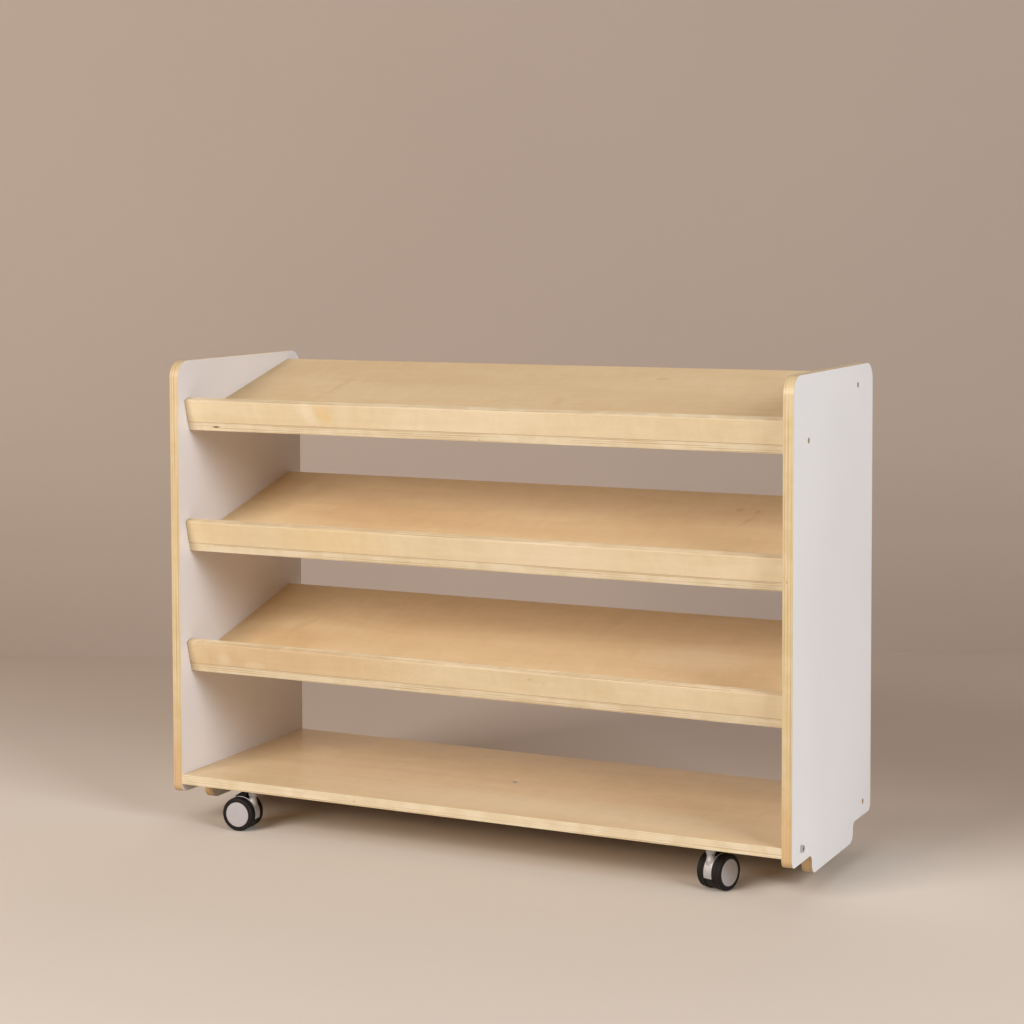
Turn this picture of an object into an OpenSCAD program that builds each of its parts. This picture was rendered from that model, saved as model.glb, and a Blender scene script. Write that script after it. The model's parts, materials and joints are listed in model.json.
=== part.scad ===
// Mobile book shelf: two laminated plywood side panels, three sloping shelves with
// raised front lips, one flat bottom shelf over a stiffening rail, and four twin-wheel castors.
// Millimetres. X runs along the shelves, the front faces -Y, Z is up and the floor is Z = 0.

/* [Overall] */
// Width over the outer faces of the side panels
total_w = 1200; // [900:10:1500]
// Depth of the side panels and the bottom shelf, front to back
depth = 450; // [440:5:520]
// Height of a side panel from its lower edge to its top, without the foot
panel_h = 808; // [720:1:900]
// Height from the floor to the underside of the bottom shelf
castor_h = 78; // [77:1:90]

/* [Side panels] */
// Thickness of a side panel with both laminate sheets
panel_t = 18; // [16:0.5:24]
// Thickness of each white laminate sheet
laminate_t = 0.8; // [0.5:0.1:1.5]
// Radius of the two upper corners
top_r = 32; // [5:1:60]
// Radius of the two lower corners
bottom_r = 14; // [3:1:16]
// How far a side panel reaches below the underside of the bottom shelf
panel_below = 16; // [14:1:24]
// Distance from the panel's front and rear edges to the ends of its foot
foot_inset = 107; // [80:1:140]
// How far the foot reaches below the panel's lower edge
foot_drop = 34; // [32:1:40]
// Radius of the foot's lower corners
foot_r = 18; // [4:1:20]
// Radius where the foot runs into the panel's lower edge
foot_fillet = 12; // [2:1:14]

/* [Sloping shelves] */
// Thickness of a sloping board
board_t = 16; // [15:0.5:20]
// Length of a sloping board from front to back, along its slope
board_l = 384; // [330:1:390]
// Slope of the boards, rising to the rear
slope = 15; // [8:0.5:17]
// Height of a front lip above its board
lip_h = 43; // [25:1:60]
// Thickness of a front lip
lip_t = 18; // [15:0.5:24]
// Radius of a lip's two upper edges
lip_round = 2.5; // [0.5:0.1:4]
// Radius of the boards' other long edges
edge_round = 1; // [0.5:0.1:3]
// Distance from the panel's front edge back to a board's lower front edge
front_setback = 36.5; // [24:0.5:40]
// Distance from the panels' top edge down to the top board's lower front edge
top_gap = 130.3; // [120:0.1:150]
// Height from one sloping board to the next
shelf_step = 226.6; // [180:0.1:240]

/* [Bottom shelf and rail] */
// Thickness of the bottom shelf
bottom_t = 18; // [16:0.5:24]
// Thickness of the rail under the bottom shelf
rail_t = 18; // [15:0.5:24]
// Height of the rail
rail_h = 46; // [40:1:47]
// Distance of a rail dowel from the rail's upper or lower edge
rail_dowel_edge = 13; // [8:0.5:15]

/* [Bolts and nuts] */
// Diameter of the bolts that hold the top and bottom shelves
bolt_d = 6; // [5:0.5:7]
// How far a bolt reaches past its barrel nut
bolt_past_nut = 1; // [0.5:0.5:6]
// Distance of a bolt from the front or rear edge of its shelf
bolt_edge = 47.5; // [42:0.5:60]
// Diameter of a sunk bolt head
head_d = 9.6; // [9:0.1:10]
// Height of a sunk bolt head
head_h = 5; // [3:0.5:6]
// Depth of the hole that a sunk bolt head sits in
sink_depth = 8; // [6.5:0.5:10]
// Diameter of the two bolt heads that stand proud of each panel's lower front
proud_head_d = 12; // [10:0.5:14]
// Height of a proud bolt head
proud_head_h = 4.6; // [3:0.1:6]
// Width of the hexagon socket in a bolt head
hex_w = 4; // [3:0.5:5]
// Diameter of a barrel nut
nut_d = 10; // [9:0.5:12]
// Length of a barrel nut
nut_l = 12.5; // [12:0.5:13.5]
// Distance of a barrel nut from the end of its shelf
nut_in = 30; // [22:1:34]

/* [Hidden fittings] */
// Diameter of the cam discs under the lower two sloping boards
cam_d = 15; // [12:1:18]
// How far a cam disc reaches above its cam bolt
cam_cover = 0.8; // [0.5:0.1:1.5]
// Distance of a cam disc from the end of its board
cam_in = 24; // [20:1:34]
// Diameter of a cam bolt
cam_bolt_d = 6; // [5:0.5:7]
// Depth of a cam bolt in the side panel
cam_bolt_in_panel = 11; // [8:0.5:13]
// Diameter of the wooden dowels
dowel_d = 8; // [6:0.5:10]
// Length of a dowel
dowel_l = 30; // [24:1:34]
// Depth of a dowel in a side panel
dowel_in_panel = 12; // [8:0.5:13]
// Distance of a shelf dowel from the front or rear edge of its shelf
dowel_edge = 110; // [90:1:140]
// Depth of a lip dowel in its board
dowel_in_board = 10; // [7:0.5:12]
// Distance between two dowels in a lip
lip_dowel_step = 250; // [200:10:400]

/* [Screws] */
// Diameter of the countersunk screw that joins the bottom shelf to the rail
rail_screw_d = 6; // [4:0.5:7]
// Length of the rail screw with its head
rail_screw_l = 52; // [30:1:60]
// Diameter of the rail screw's head
rail_screw_head_d = 12; // [8:0.5:14]
// Height of the rail screw's head
rail_screw_head_h = 3.4; // [1.5:0.1:5]
// Diameter of the screws that hold the castor plates
plate_screw_d = 3.5; // [3:0.5:4]
// Length of a plate screw under its head
plate_screw_l = 15; // [10:1:17]
// Diameter of a plate screw's head
plate_screw_head_d = 7; // [6:0.5:8]
// Height of a plate screw's head
plate_screw_head_h = 2.2; // [1.5:0.1:3]

/* [Castors] */
// Radius of a castor wheel over its tyre
wheel_r = 31; // [29:0.5:32]
// Width of one wheel
wheel_w = 15; // [12:0.5:18]
// Gap between the two wheels of a castor
wheel_gap = 18; // [17:0.5:22]
// Radius of the hub, where the tyre starts
hub_r = 23.1; // [20:0.1:25]
// Distance from the swivel axis back to the wheel axle
trail = 21; // [19:0.5:24]
// Distance from a panel's outer face to a castor's swivel axis
castor_side = 152; // [100:1:200]
// Distance from the shelf's front or rear edge to a castor's swivel axis
castor_edge = 34; // [26:1:60]
// Side of the square mounting plate
plate_w = 42; // [40:1:48]
// Thickness of the mounting plate
plate_t = 2.5; // [2:0.1:3]
// Distance between two screw holes along a side of the plate
plate_screw_gap = 31; // [28:0.5:33]
// Diameter of the kingpin that the castor swivels on
kingpin_d = 8; // [6:0.5:9]
// Diameter of the axle
axle_d = 6; // [5:0.5:8]
// Diameter of the neck under the mounting plate
neck_d = 17; // [15:0.5:19]
// Diameter of the neck at its waist
waist_d = 13; // [12:0.5:14]
// Heading of the front left castor as it stands, 0 is towards +X
turn_fl = 4; // [0:1:360]
// Heading of the front right castor as it stands
turn_fr = 252; // [0:1:360]
// Heading of the rear left castor as it stands
turn_rl = 38; // [0:1:360]
// Heading of the rear right castor as it stands
turn_rr = 118; // [0:1:360]

/* [Castor bodies and hubs] */
// Gap between a castor body and each of its wheels
body_gap = 0.8; // [0.5:0.1:1.5]
// How far the castor body's rim stands above the tyres
rim_rise = 0.2; // [0:0.1:1]
// Thickness of the two flanges beside the slot in a castor body
flange_t = 1.9; // [1.5:0.1:3]
// Radius of a castor body's boss round the axle
boss_r = 11; // [9:0.5:14]
// How far the dark insert lies below the castor body's rim
insert_below = 1.7; // [0.5:0.1:3]
// How deep the neck is rooted in the castor body
neck_root = 3; // [2:0.5:5]
// Height from the neck's foot to its waist
waist_rise = 9; // [6:0.5:10]
// Height from the neck's waist to its collar
collar_rise = 6; // [3:0.5:8]
// Width of the kingpin head's rim round the pin
kingpin_rim = 2; // [1:0.5:4]
// Height of the kingpin's head, sunk in the mounting plate
kingpin_head_h = 1; // [0.5:0.1:1.5]
// Thickness of a hub's outer face
hub_face_t = 2.4; // [1.5:0.1:4]
// Thickness of a hub's rim under the tyre
hub_rim_t = 3; // [2:0.5:5]
// Radius of a hub's boss round the axle
hub_boss_r = 6.5; // [5.5:0.5:9]
// How far a hub lies inside its tyre's side faces
hub_inset = 0.5; // [0.2:0.1:1.5]
// Radius of a tyre's inner shoulder
inner_shoulder = 2; // [1:0.5:3]
// Radius of a tyre's outer shoulder
outer_shoulder = 4; // [2:0.5:5]

/* [Brake pedals of the front castors] */
// How far a pedal's tip reaches behind the axle
pedal_reach = 12.6; // [10:0.2:16]
// Thickness of a pedal's tip
pedal_tip_t = 3; // [2:0.1:4]
// Distance from the axle forward to the crest of the pedal's slope
pedal_crest = 3; // [-2:0.5:6]
// Radius of a pedal's rounded heel and tip
pedal_round = 1.2; // [0.5:0.1:1.5]
// Clearance above a pedal, below the heads of the plate screws
pedal_headroom = 1.8; // [1:0.1:4]
// Clearance between a pedal and the castor's neck
pedal_neck_gap = 0.9; // [0.5:0.1:2]
// Diameter of a pedal's pivot pin
pedal_pin_d = 3; // [2:0.5:4]
// Diameter of a pedal's boss round its pin
pedal_boss_d = 7; // [5.5:0.5:8]
// How far a pedal's pin lies below the castor body's rim
pedal_pin_below = 4.2; // [4:0.1:6]
// Depth of the hollow that a pedal presses into, below the castor body's rim
pedal_hollow = 9.5; // [9:0.5:12]

/* [Fits] */
// Radial clearance of a pin, shaft or bolt in its hole
fit = 0.05; // [0.02:0.01:0.1]
// Clearance between faces that turn past each other
running_gap = 0.3; // [0.2:0.05:0.5]
// Radial clearance of wooden dowels, cams and sunk heads in their holes
loose_fit = 0.2; // [0.1:0.05:0.3]

/* [Hidden] */
$fn = 48;

// Colours of the finishes
birch = [0.86, 0.74, 0.55];
lip_birch = [0.89, 0.78, 0.58];
laminate = [0.88, 0.86, 0.84];
steel = [0.62, 0.62, 0.61];
castor_silver = [0.74, 0.73, 0.71];
hub_grey = [0.68, 0.66, 0.65];
rubber = [0.11, 0.10, 0.10];
beech = [0.80, 0.66, 0.47];

// Main planes
half_w = total_w/2;
seat_round = 0.3;
inner_x = half_w - panel_t;
shelf_w = 2*inner_x;
front_y = -depth/2;
panel_z = castor_h - panel_below;
bottom_top_z = castor_h + bottom_t;
lower = 0;
middle = 1;
top = 2;
bolt_rows = [bolt_edge, board_l - bolt_edge];
dowel_rows = [dowel_edge, board_l - dowel_edge];
bottom_bolt_y = depth/2 - bolt_edge;
bottom_dowel_y = depth/2 - dowel_edge;
rail_dowel_drops = [rail_dowel_edge, rail_h - rail_dowel_edge];
lip_dowel_count = floor((shelf_w/2 - 2*dowel_d)/lip_dowel_step);
bolt_in_shelf = nut_in + nut_d/2 + bolt_past_nut;
cam_h = board_t/2 + cam_bolt_d/2 + cam_cover;
dowel_in_lip = dowel_l - dowel_in_board;

// Castor geometry about the swivel axis, with the axle behind it
castor_x = half_w - castor_side;
castor_y = depth/2 - castor_edge;
body_w = wheel_gap - 2*body_gap;
slot_w = body_w - 2*flange_t;
fender_r = wheel_r + rim_rise;
insert_r = fender_r - insert_below;
body_top = castor_h - plate_t - running_gap;
neck_foot = wheel_r + sqrt(fender_r*fender_r - trail*trail) - neck_root;
shoulder_r = body_w/2 - running_gap;
waist_z = neck_foot + waist_rise;
kingpin_foot = neck_foot - neck_root/2;
kingpin_head_d = kingpin_d + 2*kingpin_rim;
hub_inner = body_w/2 + running_gap;
hub_outer = wheel_gap/2 + wheel_w - hub_inset;
axle_half = hub_outer - hub_face_t - running_gap;
pedal_w = slot_w - 2*running_gap;
pedal_heel = trail - neck_d/2 - pedal_neck_gap;
pedal_top = castor_h - plate_t - plate_screw_head_h - pedal_headroom - wheel_r;
pedal_pin_r = fender_r - pedal_pin_below;

// Angles about the axle, 0 towards the castor's heading and 90 straight up
fender_front = -17;
fender_back = 166;
slot_front = 62;
insert_front = -60;
insert_back = 200;
hollow_back = 128;
pedal_pin_angle = 73;

function arc(cx, cy, r, a0, a1, n = 12) =
    [for (i = [0:n]) [cx + r*cos(a0 + (a1 - a0)*i/n), cy + r*sin(a0 + (a1 - a0)*i/n)]];

// Outline of a side panel in depth and height, from its front lower corner
function panel_outline() = concat(
    arc(bottom_r, bottom_r, bottom_r, 180, 270),
    arc(foot_inset - foot_fillet, -foot_fillet, foot_fillet, 90, 0),
    arc(foot_inset + foot_r, foot_r - foot_drop, foot_r, 180, 270),
    arc(depth - foot_inset - foot_r, foot_r - foot_drop, foot_r, 270, 360),
    arc(depth - foot_inset + foot_fillet, -foot_fillet, foot_fillet, 180, 90),
    arc(depth - bottom_r, bottom_r, bottom_r, 270, 360),
    arc(depth - top_r, panel_h - top_r, top_r, 0, 90),
    arc(top_r, panel_h - top_r, top_r, 90, 180));

// One corner of a board's section, rounded from angle a to a + 90
function soft_corner(y, z, r, a) = arc(y, z, r, a, a + 90, 4);

// Section of a board from its lower front corner, with its radii from there round by the rear
function bar_section(y0, z0, y1, z1, r) = concat(
    soft_corner(y0 + r[0], z0 + r[0], r[0], 180),
    soft_corner(y1 - r[1], z0 + r[1], r[1], 270),
    soft_corner(y1 - r[2], z1 - r[2], r[2], 0),
    soft_corner(y0 + r[3], z1 - r[3], r[3], 90));

function slope_z(level) = panel_z + panel_h - top_gap - (top - level)*shelf_step;

// Places a child on a sloping board: Y runs up the slope, Z stands square on it
module on_slope(level) {
    translate([0, front_y + front_setback, slope_z(level)])
        rotate([slope, 0, 0])
            children();
}

// A board of the given section that spans the room between the side panels
module shelf_bar(section) {
    translate([-inner_x, 0, 0])
        rotate([90, 0, 90])
            linear_extrude(height = shelf_w)
                polygon(section);
}

module along_x(r, length) {
    rotate([0, 90, 0])
        cylinder(r = r, h = length);
}

// Repeats a child at both ends, turned so that its X axis points into the shelf from a panel's outer face
module at_both_ends() {
    translate([-half_w, 0, 0]) children();
    translate([half_w, 0, 0]) mirror([1, 0, 0]) children();
}

// A sheet with the panel outline, between two distances from the panel's outer face
module panel_sheet(from, to) {
    translate([from, front_y, panel_z])
        rotate([90, 0, 90])
            linear_extrude(height = to - from)
                polygon(panel_outline());
}

module sunk_places() {
    for (y = bolt_rows)
        on_slope(top)
            translate([0, y, board_t/2])
                children();
    translate([0, bottom_bolt_y, castor_h + bottom_t/2])
        children();
}

module proud_places() {
    translate([0, -bottom_bolt_y, castor_h + bottom_t/2])
        children();
}

module cam_places() {
    for (level = [lower, middle])
        for (y = bolt_rows)
            on_slope(level)
                translate([0, y, 0])
                    children();
}

module shelf_dowel_places() {
    for (level = [lower, middle, top])
        for (y = dowel_rows)
            on_slope(level)
                translate([0, y, board_t/2])
                    children();
    for (side = [-1, 1])
        translate([0, side*bottom_dowel_y, castor_h + bottom_t/2])
            children();
    for (drop = rail_dowel_drops)
        translate([0, 0, castor_h - drop])
            children();
}

// Holes of every fitting that enters a side panel, seen from the panel's outer face
module panel_holes() {
    sunk_places() {
        along_x(head_d/2 + loose_fit, sink_depth);
        along_x(bolt_d/2 + fit, panel_t + 1);
    }
    proud_places()
        translate([-1, 0, 0])
            along_x(bolt_d/2 + fit, panel_t + 2);
    cam_places()
        translate([panel_t - cam_bolt_in_panel, 0, board_t/2])
            along_x(cam_bolt_d/2 + fit, cam_bolt_in_panel + 1);
    shelf_dowel_places()
        translate([panel_t - dowel_in_panel - loose_fit, 0, 0])
            along_x(dowel_d/2 + loose_fit, dowel_in_panel + 1);
}

// One side panel layer; the mirrored one stands at the other end
module panel_layer(side, from, to) {
    mirror([side > 0 ? 1 : 0, 0, 0])
        translate([-half_w, 0, 0])
            difference() {
                panel_sheet(from, to);
                panel_holes();
            }
}

module left_panel() {
    color(birch) panel_layer(-1, laminate_t, panel_t - laminate_t);
}

module left_panel_outer_laminate() {
    color(laminate) panel_layer(-1, 0, laminate_t);
}

module left_panel_inner_laminate() {
    color(laminate) panel_layer(-1, panel_t - laminate_t, panel_t);
}

module right_panel() {
    color(birch) panel_layer(1, laminate_t, panel_t - laminate_t);
}

module right_panel_outer_laminate() {
    color(laminate) panel_layer(1, 0, laminate_t);
}

module right_panel_inner_laminate() {
    color(laminate) panel_layer(1, panel_t - laminate_t, panel_t);
}

// Hole in a shelf's end for a bolt and the cross hole for its barrel nut
module bolt_and_nut_holes() {
    translate([panel_t - 1, 0, 0])
        along_x(bolt_d/2 + loose_fit, bolt_in_shelf + 2);
}

module nut_hole(thickness) {
    translate([panel_t + nut_in, 0, -1])
        cylinder(d = nut_d + 2*fit, h = (thickness + nut_l)/2 + 1);
}

module dowel_hole() {
    translate([panel_t - 1, 0, 0])
        along_x(dowel_d/2 + loose_fit, dowel_l - dowel_in_panel + loose_fit + 1);
}

module lip_dowel_places() {
    for (i = [-lip_dowel_count:lip_dowel_count])
        translate([i*lip_dowel_step, lip_t/2, board_t])
            children();
}

// A bare sloping board with its end dowel holes and lip dowel holes
module sloping_board() {
    difference() {
        shelf_bar(bar_section(0, 0, board_l, board_t, [edge_round, edge_round, edge_round, seat_round]));
        for (y = dowel_rows)
            at_both_ends()
                translate([0, y, board_t/2])
                    dowel_hole();
        lip_dowel_places()
            translate([0, 0, -dowel_in_board - loose_fit])
                cylinder(d = dowel_d + 2*loose_fit, h = dowel_in_board + 1);
    }
}

module top_shelf() {
    color(birch)
        on_slope(top)
            difference() {
                sloping_board();
                for (y = bolt_rows)
                    at_both_ends()
                        translate([0, y, 0]) {
                            translate([0, 0, board_t/2]) bolt_and_nut_holes();
                            nut_hole(board_t);
                        }
            }
}

// A sloping board held by cams, with a pocket in its underside at each corner
module cam_board(level) {
    color(birch)
        on_slope(level)
            difference() {
                sloping_board();
                for (y = bolt_rows)
                    at_both_ends()
                        translate([panel_t, y, 0]) {
                            translate([-1, 0, board_t/2])
                                along_x(cam_bolt_d/2 + loose_fit, cam_in + 1);
                            translate([cam_in, 0, -1])
                                cylinder(d = cam_d + 2*loose_fit, h = cam_h + 1);
                        }
            }
}

module middle_shelf() {
    cam_board(middle);
}

module lower_shelf() {
    cam_board(lower);
}

module lip(level) {
    color(lip_birch)
        on_slope(level)
            difference() {
                shelf_bar(bar_section(0, board_t, lip_t, board_t + lip_h,
                    [seat_round, seat_round, lip_round, lip_round]));
                lip_dowel_places()
                    translate([0, 0, -1])
                        cylinder(d = dowel_d + 2*loose_fit, h = dowel_in_lip + loose_fit + 1);
            }
}

module top_lip() {
    lip(top);
}

module middle_lip() {
    lip(middle);
}

module lower_lip() {
    lip(lower);
}

module castor_sites() {
    for (x = [-castor_x, castor_x])
        for (y = [-castor_y, castor_y])
            translate([x, y, 0])
                children();
}

module plate_corners() {
    for (x = [-plate_screw_gap/2, plate_screw_gap/2])
        for (y = [-plate_screw_gap/2, plate_screw_gap/2])
            translate([x, y, 0])
                children();
}

// Where the rail screw's head lies, just under the bottom shelf's face
module rail_screw_place() {
    translate([0, 0, bottom_top_z - loose_fit])
        children();
}

// The rail screw's shank and conical head down from Z = 0, wider by twice the given clearance
module countersunk(clearance) {
    shank = rail_screw_d + 2*clearance;
    translate([0, 0, -rail_screw_l])
        cylinder(d = shank, h = rail_screw_l);
    translate([0, 0, -rail_screw_head_h])
        cylinder(d1 = shank, d2 = rail_screw_head_d + 2*clearance, h = rail_screw_head_h);
}

module rail_screw_hole() {
    rail_screw_place() {
        countersunk(fit);
        translate([0, 0, -rail_screw_l - 1])
            cylinder(d = rail_screw_d + 2*fit, h = rail_screw_l);
        cylinder(d = rail_screw_head_d + 2*fit, h = 1);
    }
}

module bottom_shelf() {
    color(birch)
        difference() {
            shelf_bar(bar_section(front_y, castor_h, -front_y, bottom_top_z,
                [edge_round, edge_round, edge_round, edge_round]));
            for (side = [-1, 1])
                at_both_ends() {
                    translate([0, side*bottom_bolt_y, castor_h + bottom_t/2])
                        bolt_and_nut_holes();
                    translate([0, side*bottom_bolt_y, castor_h])
                        nut_hole(bottom_t);
                    translate([0, side*bottom_dowel_y, castor_h + bottom_t/2])
                        dowel_hole();
                }
            rail_screw_hole();
            castor_sites()
                plate_corners()
                    translate([0, 0, castor_h - 1])
                        cylinder(d = plate_screw_d + 2*fit, h = plate_screw_l - plate_t + 2);
        }
}

module stiffening_rail() {
    color(birch)
        difference() {
            shelf_bar(bar_section(-rail_t/2, castor_h - rail_h, rail_t/2, castor_h,
                [edge_round, edge_round, seat_round, seat_round]));
            for (drop = rail_dowel_drops)
                at_both_ends()
                    translate([0, 0, castor_h - drop])
                        dowel_hole();
            rail_screw_hole();
        }
}

module hex_socket(depth_in) {
    translate([-1, 0, 0])
        rotate([0, 90, 0])
            cylinder(d = hex_w/cos(30), h = depth_in + 1, $fn = 6);
}

// A bolt whose head starts at the given distance from the panel's outer face
module bolt(head_from, d, h) {
    translate([head_from, 0, 0])
        difference() {
            union() {
                along_x(d/2, h);
                along_x(bolt_d/2, panel_t + bolt_in_shelf - head_from);
            }
            hex_socket(h*0.6);
        }
}

module sunk_bolts() {
    color(steel)
        at_both_ends()
            sunk_places()
                bolt(sink_depth - head_h, head_d, head_h);
}

module proud_bolts() {
    color(steel)
        at_both_ends()
            proud_places()
                bolt(-proud_head_h, proud_head_d, proud_head_h);
}

module barrel_nut() {
    translate([panel_t + nut_in, 0, 0])
        difference() {
            translate([0, 0, -nut_l/2])
                cylinder(d = nut_d, h = nut_l);
            translate([-nut_d, 0, 0])
                along_x(bolt_d/2 + fit, 2*nut_d);
        }
}

module barrel_nuts() {
    color(steel)
        at_both_ends() {
            sunk_places() barrel_nut();
            proud_places() barrel_nut();
        }
}

module cam_bolts() {
    color(steel)
        at_both_ends()
            cam_places()
                translate([panel_t - cam_bolt_in_panel, 0, board_t/2])
                    along_x(cam_bolt_d/2, cam_bolt_in_panel + cam_in);
}

module cam_discs() {
    color(steel)
        at_both_ends()
            cam_places()
                translate([panel_t + cam_in, 0, 0])
                    difference() {
                        cylinder(d = cam_d, h = cam_h - loose_fit);
                        translate([-cam_d, 0, board_t/2])
                            along_x(cam_bolt_d/2 + fit, cam_d + fit);
                        for (turn = [0, 90])
                            rotate([0, 0, turn])
                                translate([-cam_d*0.3, -cam_d*0.05, -1])
                                    cube([cam_d*0.6, cam_d*0.1, 2.2]);
                    }
}

module wood_dowels() {
    color(beech) {
        at_both_ends()
            shelf_dowel_places()
                translate([panel_t - dowel_in_panel, 0, 0])
                    along_x(dowel_d/2, dowel_l);
        for (level = [lower, middle, top])
            on_slope(level)
                lip_dowel_places()
                    translate([0, 0, -dowel_in_board])
                        cylinder(d = dowel_d, h = dowel_l);
    }
}

// Cross recess in a screw head that faces up, cut from its top face
module cross_recess(d, deep) {
    for (turn = [0, 90])
        rotate([0, 0, turn])
            translate([-d*0.3, -d*0.06, -deep])
                cube([d*0.6, d*0.12, deep + 1]);
}

module rail_screw() {
    color(steel)
        rail_screw_place()
            rotate([0, 0, 25])
                difference() {
                    countersunk(0);
                    cross_recess(rail_screw_head_d, rail_screw_head_h*0.6);
                }
}

// A pan-head screw that points up, with the underside of its head at Z = 0
module plate_screw() {
    rim = plate_screw_head_h*0.45;
    rise = plate_screw_head_h - rim;
    dome = (plate_screw_head_d*plate_screw_head_d/4 + rise*rise)/(2*rise);
    rotate([180, 0, 0])
        difference() {
            union() {
                translate([0, 0, -plate_screw_l])
                    cylinder(d = plate_screw_d, h = plate_screw_l);
                intersection() {
                    cylinder(d = plate_screw_head_d, h = plate_screw_head_h);
                    translate([0, 0, plate_screw_head_h - dome])
                        sphere(r = dome);
                }
            }
            translate([0, 0, plate_screw_head_h])
                cross_recess(plate_screw_head_d, plate_screw_head_h*0.55);
        }
}

module plate_screws() {
    color(steel)
        castor_sites()
            plate_corners()
                translate([0, 0, castor_h - plate_t])
                    plate_screw();
}

module castor_kingpins() {
    color(steel)
        castor_sites() {
            translate([0, 0, kingpin_foot])
                cylinder(d = kingpin_d, h = castor_h - kingpin_foot);
            translate([0, 0, castor_h - kingpin_head_h])
                cylinder(d = kingpin_head_d, h = kingpin_head_h);
        }
}

// Puts a castor part under its corner of the shelf, turned to its heading
module castor_at(x_side, y_side, turn) {
    translate([x_side*castor_x, y_side*castor_y, 0])
        rotate([0, 0, turn])
            children();
}

// Moves a child to the axle, with its Z axis along the axle
module on_axle() {
    translate([-trail, 0, wheel_r])
        rotate([90, 0, 0])
            children();
}

// A disc about the axle between two angles, 0 towards the heading and 90 up
module sector(r, width, a0, a1) {
    linear_extrude(height = width, center = true)
        intersection() {
            circle(r = r, $fn = 96);
            polygon(concat([[0, 0]], arc(0, 0, 2*r, a0, a1, 6)));
        }
}

module ring_sector(r_in, r_out, width, a0, a1) {
    difference() {
        sector(r_out, width, a0, a1);
        cylinder(r = r_in, h = width + 2, center = true, $fn = 96);
    }
}

module pedal_pin_place() {
    rotate([0, 0, pedal_pin_angle])
        translate([pedal_pin_r, 0, 0])
            children();
}

module castor_plate() {
    corner = 5;
    inside = plate_w - 2*corner;
    color(steel)
        translate([0, 0, castor_h - plate_t])
            difference() {
                union() {
                    translate([-plate_w/2, -inside/2, 0])
                        cube([plate_w, inside, plate_t]);
                    translate([-inside/2, -plate_w/2, 0])
                        cube([inside, plate_w, plate_t]);
                    for (x = [-inside/2, inside/2])
                        for (y = [-inside/2, inside/2])
                            translate([x, y, 0])
                                cylinder(r = corner, h = plate_t);
                }
                plate_corners()
                    translate([0, 0, -1])
                        cylinder(d = plate_screw_d + 2*loose_fit, h = plate_t + 2);
                translate([0, 0, -1])
                    cylinder(d = kingpin_d + 2*fit, h = plate_t + 2);
                translate([0, 0, plate_t - kingpin_head_h])
                    cylinder(d = kingpin_head_d + 2*fit, h = kingpin_head_h + 1);
            }
}

// Side line of the waisted neck, from inside the fender up to the mounting plate
function neck_profile() = concat(
    [[0, neck_foot - 2*neck_root]],
    [[shoulder_r, neck_foot - 2*neck_root]],
    [for (i = [0:8]) [waist_d/2 + (shoulder_r - waist_d/2)*(1 + cos(22.5*i))/2,
        neck_foot + waist_rise*i/8]],
    [for (i = [1:8]) [waist_d/2 + (neck_d - waist_d)/2*(1 - cos(22.5*i))/2,
        waist_z + collar_rise*i/8]],
    [[neck_d/2, body_top]],
    [[0, body_top]]);

module castor_body(braked) {
    color(castor_silver)
        difference() {
            union() {
                rotate_extrude($fn = 48)
                    polygon(neck_profile());
                on_axle()
                    difference() {
                        union() {
                            sector(fender_r, body_w, fender_front, fender_back);
                            cylinder(r = boss_r, h = body_w, center = true);
                        }
                        ring_sector(boss_r, 2*fender_r, slot_w, slot_front, fender_back + 10);
                    }
            }
            on_axle() {
                cylinder(d = axle_d + 2*fit, h = body_w + 2, center = true);
                if (braked)
                    pedal_pin_place()
                        cylinder(d = pedal_pin_d + 2*fit, h = body_w + 2, center = true);
            }
            translate([0, 0, kingpin_foot - running_gap])
                cylinder(d = kingpin_d + 2*fit, h = castor_h);
        }
}

function rim_point(r, a) = [r*cos(a), r*sin(a)];

// Everything above the insert's underside, a chord from its front end to its back end
module above_insert_chord() {
    front = rim_point(insert_r, insert_front);
    back = rim_point(insert_r, insert_back);
    far = 2*insert_r;
    linear_extrude(height = body_w + 2, center = true)
        polygon([back, front, [far, front[1]], [far, far], [-far, far], [-far, back[1]]]);
}

// Dark insert that fills the slot and closes the castor body below the fender
module castor_insert(braked) {
    color(rubber)
        on_axle()
            difference() {
                union() {
                    ring_sector(boss_r + fit, insert_r, slot_w - 2*running_gap,
                        slot_front + 1, fender_back + 6);
                    intersection() {
                        ring_sector(boss_r + fit, insert_r, body_w - 2*running_gap,
                            fender_back + 1, 359 + fender_front);
                        above_insert_chord();
                    }
                }
                if (braked)
                    ring_sector(fender_r - pedal_hollow, 2*fender_r, slot_w, slot_front - 5, hollow_back);
            }
}

module castor_axle() {
    color(steel)
        on_axle()
            cylinder(d = axle_d, h = 2*axle_half, center = true);
}

// Side outline of a brake pedal about the axle, from its pin up to its heel and back to its tip
function pedal_outline() = let (tip_y = sqrt(fender_r*fender_r - pedal_reach*pedal_reach)) concat(
    [rim_point(pedal_pin_r, pedal_pin_angle)],
    arc(pedal_heel - pedal_round, pedal_top - pedal_round, pedal_round, 0, 90, 4),
    [[pedal_crest, pedal_top]],
    arc(pedal_round - pedal_reach, tip_y + pedal_tip_t - pedal_round, pedal_round, 120, 180, 3),
    [[-pedal_reach, tip_y]]);

// A lever between the flanges of a braked castor, with stub pins in the flanges
module brake_pedal() {
    color(rubber)
        on_axle() {
            linear_extrude(height = pedal_w, center = true)
                polygon(pedal_outline());
            pedal_pin_place() {
                cylinder(d = pedal_boss_d, h = pedal_w, center = true);
                cylinder(d = pedal_pin_d, h = body_w - running_gap, center = true);
            }
        }
}

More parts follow.
